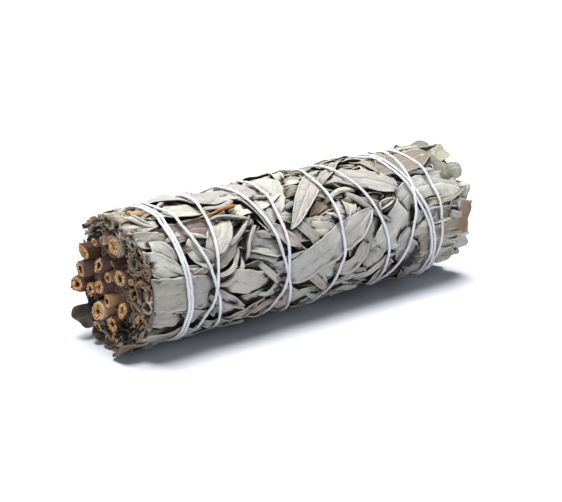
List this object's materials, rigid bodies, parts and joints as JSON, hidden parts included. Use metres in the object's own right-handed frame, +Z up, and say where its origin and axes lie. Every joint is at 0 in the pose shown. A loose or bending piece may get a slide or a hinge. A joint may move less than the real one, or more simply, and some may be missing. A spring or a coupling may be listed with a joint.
{
  "type": "dried sage bundle",
  "caption": "Round bundle of dried sage sprigs lying on its side: cut stems at one end, leaf tips at the other, wound with cotton string.",
  "frame": {"origin": "on the surface it lies on, below the middle of its box", "axes": "+X along the bundle from the cut stems to the leaf tips, +Z up"},
  "size_m": [0.12, 0.0402, 0.0391],
  "materials": {
    "sage_leaves": "matte, felted grey-green dried leaf, browner where it is cut",
    "brown_leaf": "matte dried leaf, pinkish brown",
    "stem": "dry bark, golden cut wood with a dark pith hole",
    "twig": "smooth orange-brown bark",
    "cotton_string": "white twisted cotton, slightly fuzzy"
  },
  "bodies": {
    "root": {"sage_leaves": "sage_leaves", "brown_leaf_1": "brown_leaf", "brown_leaf_2": "brown_leaf", "brown_leaf_3": "brown_leaf", "stem_01": "stem", "stem_02": "stem", "stem_03": "stem", "stem_04": "stem", "stem_05": "stem", "stem_06": "stem", "stem_07": "stem", "stem_08": "stem", "stem_09": "stem", "stem_10": "stem", "stem_11": "stem", "stem_12": "stem", "stem_13": "stem", "stem_14": "stem", "stem_15": "stem", "stem_16": "stem", "stem_17": "stem", "stem_18": "stem", "stem_19": "stem", "stem_20": "stem", "stem_21": "stem", "stem_22": "stem", "stem_23": "stem", "stem_24": "stem", "stem_25": "stem", "stem_26": "stem", "twig": "twig", "cotton_string": "cotton_string"}
  },
  "joints": []
}
